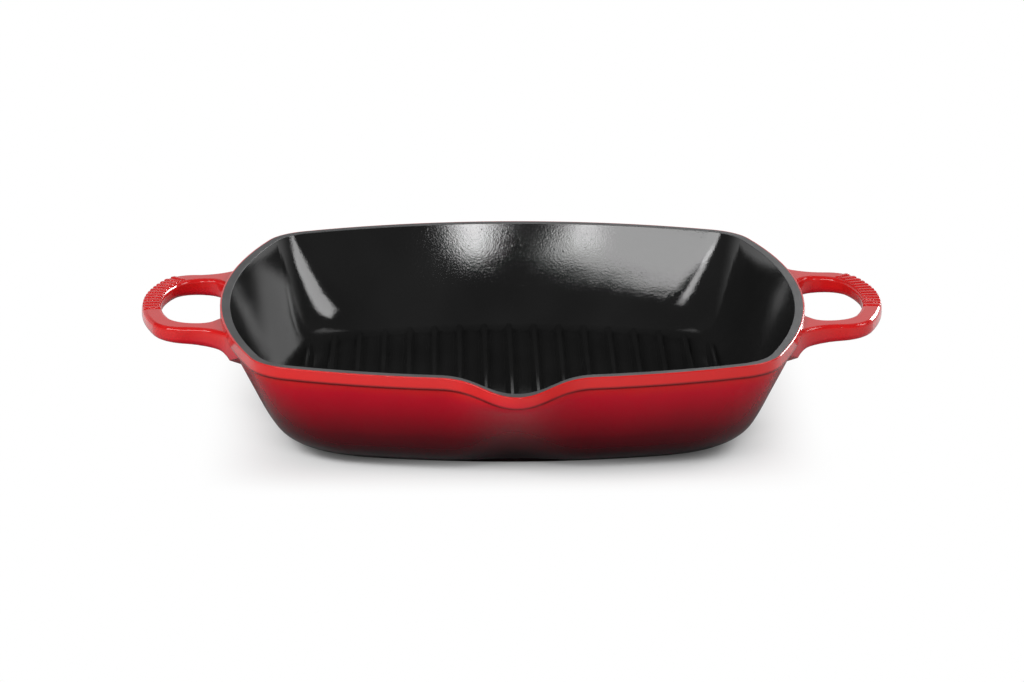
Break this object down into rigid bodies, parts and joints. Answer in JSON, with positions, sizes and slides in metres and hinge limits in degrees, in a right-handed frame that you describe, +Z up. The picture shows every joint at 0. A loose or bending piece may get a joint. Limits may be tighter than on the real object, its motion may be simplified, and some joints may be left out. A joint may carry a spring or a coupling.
{
  "type": "grill pan",
  "caption": "Square enamelled cast-iron grill pan with a ribbed cooking floor, bowed sides, a front pouring lip and a loop handle at each end.",
  "frame": {"origin": "middle of the base's underside, where the pan stands", "axes": "+X towards the right handle seen from the lip's side, -Y towards the pouring lip, +Z up out of the pan"},
  "size_m": [0.396, 0.3278, 0.0575],
  "materials": {
    "iron_casting": "grey cast iron, as cast, hidden under the enamel",
    "exterior_enamel": "gloss vitreous enamel, red, paler on the collar and the handles' tops",
    "interior_enamel": "satin black vitreous enamel, finely pebbled",
    "rim_enamel": "satin grey ground coat",
    "base_enamel": "satin dark ground coat"
  },
  "bodies": {
    "root": {"iron_casting": "iron_casting", "exterior_enamel": "exterior_enamel", "interior_enamel": "interior_enamel", "rim_enamel": "rim_enamel", "base_enamel": "base_enamel"}
  },
  "joints": []
}
